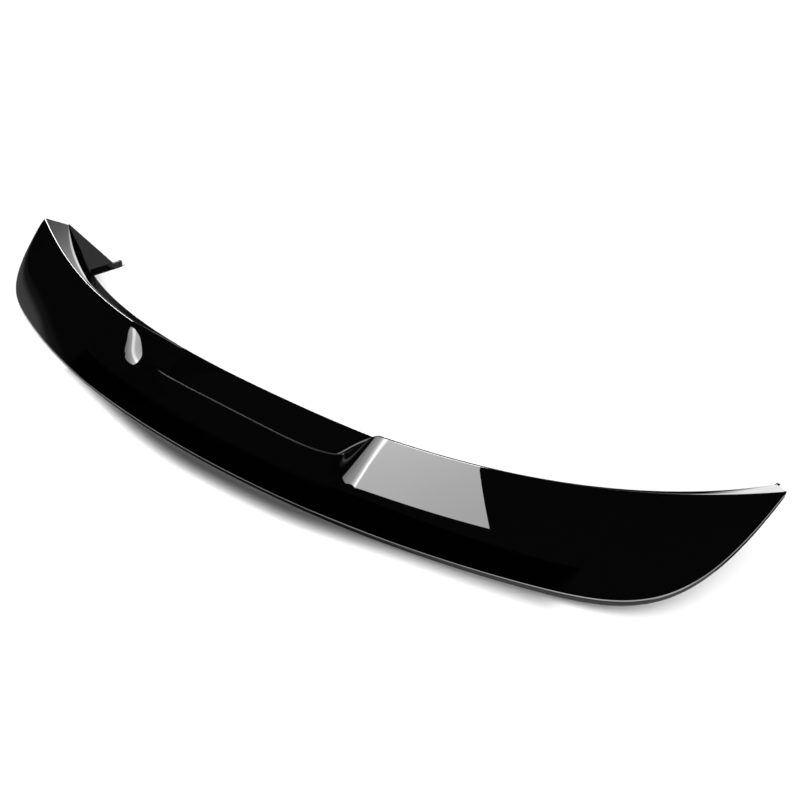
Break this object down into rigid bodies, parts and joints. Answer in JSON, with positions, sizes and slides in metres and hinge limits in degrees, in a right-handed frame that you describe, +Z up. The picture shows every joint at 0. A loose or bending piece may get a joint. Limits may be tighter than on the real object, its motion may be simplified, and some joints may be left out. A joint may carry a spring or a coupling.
{
  "type": "roof spoiler",
  "caption": "One-piece gloss black roof spoiler: a wide swept blade with a lowered middle section, shoulders that rise to pointed tips, an upright back wall and two end fins with bonding feet.",
  "frame": {"origin": "centre of the shell's outer box seen from above, on the plane that its feet, front land and back flange are bonded to", "axes": "+X across the car to the right seen from behind the front edge, +Y towards the rear of the car, +Z up from the bonding plane"},
  "size_m": [1.25, 0.3056, 0.1135],
  "materials": {
    "shell_black": "deep gloss black paint under clear coat"
  },
  "bodies": {
    "root": {"spoiler_shell": "shell_black"}
  },
  "joints": []
}
